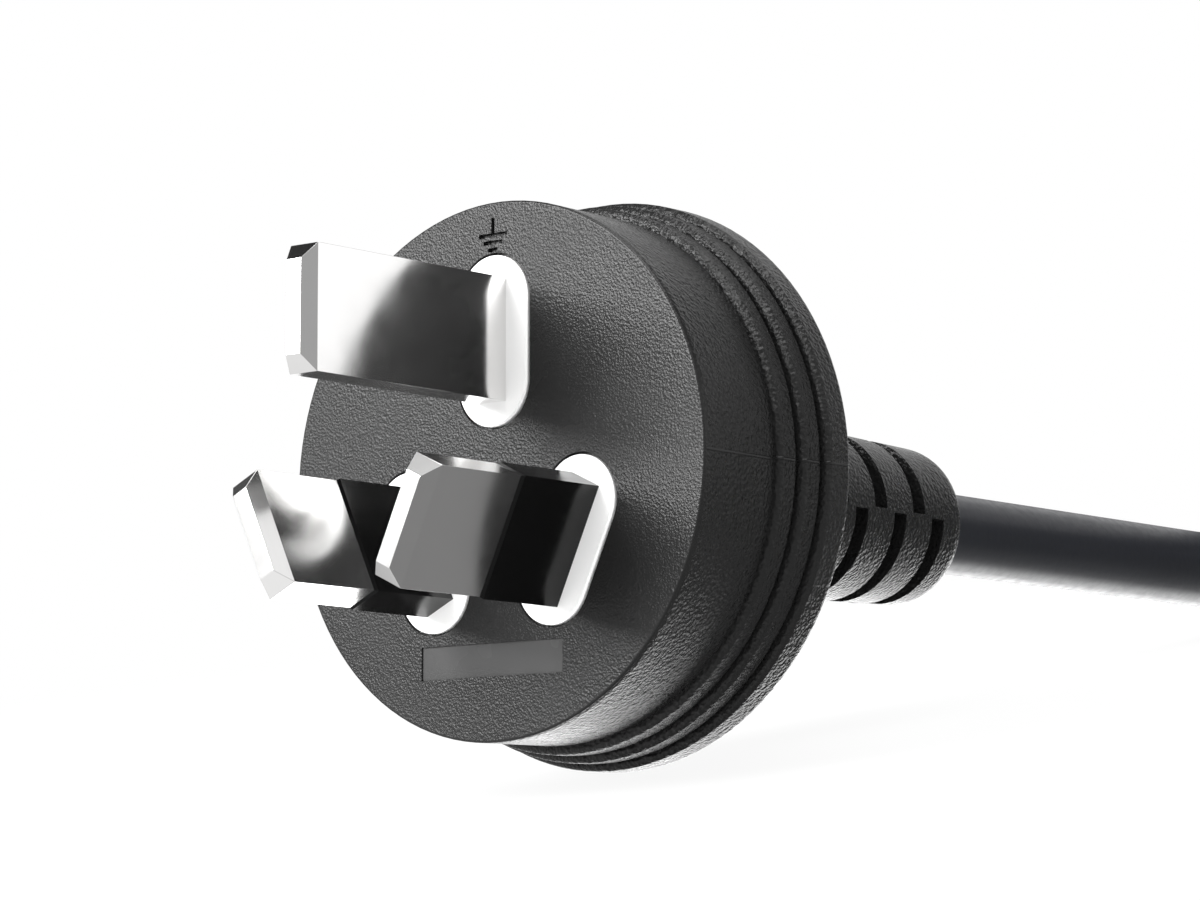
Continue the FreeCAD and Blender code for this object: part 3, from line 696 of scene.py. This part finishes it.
def strandPlace(travelled):
    # A point of the hank's line. Six turns lie in a ring, and each creeps a sixth round it on its way.
    shape = hankShape
    lay = math.radians(layAngle(travelled))
    out = shape["foldRadius"] + shape["pitch"] * math.cos(lay)
    rise = shape["height"] + shape["pitch"] * math.sin(lay)
    along = travelled % hankLoop
    x, y = shape["middle"]
    if along < shape["run"]:
        return (x - out, y + along, rise)
    along -= shape["run"]
    if along < hankFold:
        turned = along / shape["foldRadius"]
        return (x - out * math.cos(turned), y + shape["run"] + out * math.sin(turned), rise)
    along -= hankFold
    if along < shape["run"]:
        return (x + out, y + shape["run"] - along, rise)
    turned = (along - shape["run"]) / shape["foldRadius"]
    return (x + out * math.cos(turned), y - out * math.sin(turned), rise)


def hankPoints():
    shape = hankShape
    travel = shape["fullTurns"] * hankLoop + hankLoop / 2 + shape["run"] / 2 - shape["wayIn"]
    steps = round(travel / hankLoop * shape["pointsEachTurn"])
    return [strandPlace(shape["wayIn"] + i * travel / steps) for i in range(steps + 1)]


def makeCord():
    route = cordShape["start"] + hankPoints() + cordShape["end"]
    curve = bpy.data.curves.new("supply_cord", "CURVE")
    curve.dimensions = "3D"
    curve.bevel_depth = cordShape["diameter"] / 2
    curve.bevel_resolution = cordShape["roundness"]
    curve.use_fill_caps = True
    curve.resolution_u = cordShape["fineness"]
    spline = curve.splines.new("NURBS")
    spline.points.add(len(route) - 1)
    for point, place in zip(spline.points, route):
        point.co = (*place, 1.0)
    spline.order_u = 3
    spline.use_endpoint_u = True
    cord = bpy.data.objects.new("supply_cord", curve)
    bpy.context.scene.collection.objects.link(cord)
    curve.materials.append(finishes["cord_sheath"])
    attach(cord, "root")
    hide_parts("cord", "cord_hank", "cord_tail")
    return cord


tieShape = {
    "strap": 0.0006,
    "gap": 0.00002,
    "width": 0.0048,
    "arcSteps": 6,
    "headSize": (0.0046, 0.0072, 0.0062),
    "headSeat": 0.42,
    "headAngle": 62.0,
    "slot": 0.0014,
    "edge": 0.00018,
    "edgeSegments": 2,
    "edgeAngle": 30.0,
}
strandSlice = math.radians(360 / hankShape["strands"])


def tieOutline(middle, lay, radius):
    # the line round the strands, in the plane across the run
    outline = []
    for strand in range(hankShape["strands"]):
        towards = math.radians(lay) + strandSlice * strand
        x = middle[0] + hankShape["pitch"] * math.cos(towards)
        z = middle[1] + hankShape["pitch"] * math.sin(towards)
        for step in range(tieShape["arcSteps"] + 1):
            a = towards + strandSlice * (step / tieShape["arcSteps"] - 0.5)
            outline.append((x + radius * math.cos(a), z + radius * math.sin(a)))
    return outline


def makeStrapBand(name, outline, front):
    # a ring of points pulled to the outline, drawn out to the strap's width and given its thickness
    bpy.ops.mesh.primitive_circle_add(vertices=len(outline))
    band = bpy.context.active_object
    band.name = name
    for vertex, (x, z) in zip(band.data.vertices, outline):
        vertex.co = (x, front, z)
    editAll(band)
    bpy.ops.mesh.extrude_region_move(TRANSFORM_OT_translate={"value": (0, tieShape["width"], 0)})
    leaveEdit()
    wall = band.modifiers.new("thickness", "SOLIDIFY")
    wall.thickness = tieShape["strap"]
    wall.offset = 0.0
    applyAll(band)
    faceOutwards(band)
    return band


def makeTieHead(place, away):
    # the head, with the slot that the strap's end went through
    bpy.ops.mesh.primitive_cube_add(size=1.0)
    head = bpy.context.active_object
    head.scale = tieShape["headSize"]
    settle(head)
    editOnly(head, "FACE", lambda face: face.normal.x > skin["square"])
    bpy.ops.mesh.inset(thickness=tieShape["slot"])
    bpy.ops.mesh.extrude_region_move(TRANSFORM_OT_translate={"value": (-tieShape["slot"], 0, 0)})
    leaveEdit()
    head.location = place
    head.rotation_euler = (0, -away, 0)
    settle(head)
    return head


def makeTie(name, node, side):
    # a strap pulled tight round the strands, with its head on the bundle's outer shoulder
    shape = tieShape
    hank = hankShape
    travelled = hank["run"] / 2 if side < 0 else hankLoop / 2 + hank["run"] / 2
    lay = layAngle(travelled) if side > 0 else 180 - layAngle(travelled)
    middle = (hank["middle"][0] + side * hank["foldRadius"], hank["height"])
    radius = cordShape["diameter"] / 2
    front = hank["middle"][1] + (hank["run"] - shape["width"]) / 2
    band = makeStrapBand(name, tieOutline(middle, lay, radius + shape["gap"] + shape["strap"] / 2), front)
    away = math.radians(shape["headAngle"] if side > 0 else 180 - shape["headAngle"])
    reach = hank["pitch"] * math.cos(strandSlice / 2) + radius + shape["headSize"][0] * shape["headSeat"]
    x = middle[0] + reach * math.cos(away)
    z = middle[1] + reach * math.sin(away)
    joinOnto(band, [makeTieHead((x, front + shape["width"] / 2, z), away)])
    soften(band, shape["edge"], shape["edgeSegments"], shape["edgeAngle"])
    takeOver(band, node)
    return band


strandShape = {"around": 6, "sides": 8, "cuts": 7, "twist": 170.0, "fill": 0.97}


def conductorLine(node):
    # the middles of a bared conductor's two ends, and its radius
    places = {tuple(round(c, 7) for c in vertex.co) for vertex in nodes[node].data.vertices}
    places = [Vector(place) for place in sorted(places, key=lambda place: place[1])]
    half = len(places) // 2
    far, near = (sum(end, Vector()) / half for end in (places[:half], places[-half:]))
    along = (far - near).normalized()
    radius = max((place - near - along * (place - near).dot(along)).length for place in places)
    return near, far, radius


def makeStrands(node):
    # seven wires laid in a twist, from one
    near, far, radius = conductorLine(node)
    length = (far - near).length
    thickness = radius / 3
    bpy.ops.mesh.primitive_cylinder_add(
        vertices=strandShape["sides"], radius=thickness * strandShape["fill"], depth=length,
    )
    wire = bpy.context.active_object
    levels = [vertex.co.z for vertex in wire.data.vertices]

    def runsAlong(edge):
        first, last = edge.vertices
        return abs(levels[first] - levels[last]) > length / 2

    editOnly(wire, "EDGE", runsAlong)
    bpy.ops.mesh.subdivide(number_cuts=strandShape["cuts"])
    leaveEdit()
    others = []
    for i in range(strandShape["around"]):
        turned = 2 * math.pi * i / strandShape["around"]
        takeUp(wire)
        bpy.ops.object.duplicate()
        other = bpy.context.active_object
        other.location = (2 * thickness * math.cos(turned), 2 * thickness * math.sin(turned), 0)
        others.append(other)
    joinOnto(wire, others)
    lay = wire.modifiers.new("lay", "SIMPLE_DEFORM")
    lay.deform_method = "TWIST"
    lay.deform_axis = "Z"
    lay.angle = math.radians(strandShape["twist"])
    applyAll(wire)
    bpy.ops.object.shade_smooth_by_angle(angle=math.radians(skin["smoothAngle"]))
    wire.name = node.replace("conductor", "strands")
    wire.location = (near + far) / 2
    wire.rotation_euler = (far - near).to_track_quat("Z", "Y").to_euler()
    settle(wire)
    takeOver(wire, node)
    return wire


supplyCord = makeCord()
strands = [makeStrands("tail_%s_conductor" % kind) for kind in coreKinds]
ties = [makeTie("tie_left", "hank_tie_1", -1), makeTie("tie_right", "hank_tie_2", 1)]
ties + strands + [nodes["tail_%s_core" % kind] for kind in coreKinds]
print("cord laid and folded in its hank")


# Floor, light and camera

floorLook = {"half": 3.0, "drop": 0.0002, "colour": 0.82, "cameraWhite": 0.92, "near": 0.05, "far": 0.20}
# the white, grey and black boards that stand round the plug, seen only in its metal and gloss
boards = (
    {"towards": (0.644, 0.765, 0.0), "edge": 40.0, "soft": 18.0, "level": 1.3},
    {"towards": (0.765, -0.644, 0.0), "edge": 52.0, "soft": 14.0, "level": 0.42},
    {"towards": (-0.72, 0.30, 0.62), "edge": 42.0, "soft": 14.0, "level": 0.03},
    {"towards": (-0.95, 0.30, 0.0), "edge": 32.0, "soft": 10.0, "level": 0.08},
    {"towards": (0.45, 0.62, 0.64), "edge": 34.0, "soft": 16.0, "level": 0.12},
    {"towards": (0.55, 0.10, -0.83), "edge": 62.0, "soft": 14.0, "level": 0.25},
    {"towards": (0.45, 0.75, -0.50), "edge": 31.0, "soft": 8.0, "level": 0.24},
    {"towards": (-0.644, 0.018, -0.765), "edge": 25.0, "soft": 10.0, "level": 0.70},
    {"towards": (-0.36, 0.785, -0.50), "edge": 25.0, "soft": 10.0, "level": 4.5},
)
worldLook = {"lit": 0.72, "white": 1.0}
cardLook = {"x": 0.056, "from": (0.062, -0.040), "to": (0.190, 0.050), "colour": 0.02}
lamps = (
    {
        "name": "keyBox",
        "place": (-0.35, -0.60, 0.50),
        "target": (0, 0, 0.02),
        "size": (0.5, 0.5),
        "power": 15.0,
    },
    {
        "name": "topBox",
        "place": (0.1, 0.1, 0.8),
        "target": (0, 0.02, 0.02),
        "size": (0.6, 0.6),
        "power": 5.0,
    },
)
# fitted to the corners of the blades and the plug's circles in the photograph
cameraFit = {
    "place": (0.206656, -0.248823, 0.029414),
    "right": (0.76073, 0.63714, -0.12385),
    "up": (0.08309, 0.09364, 0.99213),
    "back": (0.64372, -0.76504, 0.01830),
    "lens": 131.416,
    "sensor": 36.0,
    "nearest": 0.01,
}


def makeFloor():
    look = floorLook
    bpy.ops.mesh.primitive_plane_add(size=2 * look["half"], location=(0, 0, -look["drop"]))
    floor = bpy.context.active_object
    floor.name = "studio_floor"
    f = Finish("floorPaper")
    seen = f.node("ShaderNodeLightPath", output="Is Camera Ray")
    mirrored = f.node("ShaderNodeLightPath", output="Is Glossy Ray")
    away = f.node("ShaderNodeVectorMath", {"operation": "LENGTH"}, {0: f.place}, output="Value")
    openFloor = f.between(away, look["near"], look["far"])
    share = seen * (look["cameraWhite"] + (1 - look["cameraWhite"]) * openFloor)
    paper = f.node("ShaderNodeBsdfDiffuse", sockets={"Color": grey(look["colour"])})
    white = f.node("ShaderNodeEmission", sockets={"Color": grey(1.0), "Strength": 1.0})
    both = f.node("ShaderNodeMixShader", sockets={0: share, 1: paper, 2: white})
    # metal and gloss see the boards through the floor
    through = f.node("ShaderNodeBsdfTransparent", sockets={"Color": grey(1.0)})
    shown = f.node("ShaderNodeMixShader", sockets={0: mirrored, 1: both, 2: through})
    f.node("ShaderNodeOutputMaterial", sockets={"Surface": shown})
    floor.data.materials.append(f.material)


def makeCard():
    # a black card beside the strain relief, seen only in gloss
    low, high = cardLook["from"], cardLook["to"]
    bpy.ops.mesh.primitive_plane_add(size=1.0, rotation=(0, math.radians(90), 0))
    card = bpy.context.active_object
    card.name = "black_card"
    card.scale = (high[1] - low[1], high[0] - low[0], 1.0)
    card.location = (cardLook["x"], (low[0] + high[0]) / 2, (low[1] + high[1]) / 2)
    settle(card)
    f = Finish("blackCard")
    paper = f.node("ShaderNodeBsdfDiffuse", sockets={"Color": grey(cardLook["colour"])})
    f.node("ShaderNodeOutputMaterial", sockets={"Surface": paper})
    card.data.materials.append(f.material)
    card.visible_camera = False
    card.visible_diffuse = False
    card.visible_shadow = False


def makeWorld():
    world = bpy.data.worlds.new("studio")
    bpy.context.scene.world = world
    world.cycles.sampling_method = "NONE"
    w = Nodes(world)
    seen = w.node("ShaderNodeLightPath", output="Is Camera Ray")
    mirrored = w.node("ShaderNodeLightPath", output="Is Glossy Ray")
    towards = w.node("ShaderNodeTexCoord", output="Generated")
    level = worldLook["white"]
    for board in boards:
        facing = w.node(
            "ShaderNodeVectorMath", {"operation": "DOT_PRODUCT"},
            {0: towards, 1: Vector(board["towards"]).normalized()}, output="Value",
        )
        outer = math.cos(math.radians(board["edge"]))
        inner = math.cos(math.radians(board["edge"] - board["soft"]))
        inside = w.between(facing, outer, inner)
        level = inside * board["level"] + (1 - inside) * level
    lit = w.node("ShaderNodeBackground", sockets={"Color": grey(1.0), "Strength": worldLook["lit"]})
    strength = 1 - mirrored * (1 - level)
    shown = w.node("ShaderNodeBackground", sockets={"Color": grey(1.0), "Strength": strength})
    either = (seen + mirrored).clamp()
    both = w.node("ShaderNodeMixShader", sockets={0: either, 1: lit, 2: shown})
    w.node("ShaderNodeOutputWorld", sockets={"Surface": both})


def makeLamp(plan):
    lamp = bpy.data.lights.new(plan["name"], "AREA")
    lamp.shape = "RECTANGLE"
    lamp.size, lamp.size_y = plan["size"]
    lamp.energy = plan["power"]
    holder = bpy.data.objects.new(plan["name"], lamp)
    holder.location = plan["place"]
    aim = Vector(plan["target"]) - Vector(plan["place"])
    holder.rotation_euler = aim.to_track_quat("-Z", "Y").to_euler()
    holder.visible_camera = False
    bpy.context.scene.collection.objects.link(holder)


def makeCamera():
    camera = bpy.data.cameras.new("camera")
    camera.lens = cameraFit["lens"]
    camera.sensor_width = cameraFit["sensor"]
    camera.clip_start = cameraFit["nearest"]
    holder = bpy.data.objects.new("camera", camera)
    turn = Matrix([cameraFit[axis] for axis in ("right", "up", "back")]).transposed().to_4x4()
    holder.matrix_world = Matrix.Translation(cameraFit["place"]) @ turn
    bpy.context.scene.collection.objects.link(holder)
    bpy.context.scene.camera = holder


makeFloor()
makeCard()
makeWorld()
for plan in lamps:
    makeLamp(plan)
makeCamera()
bpy.context.scene.view_settings.view_transform = "Standard"
print("floor, lamps and camera set")
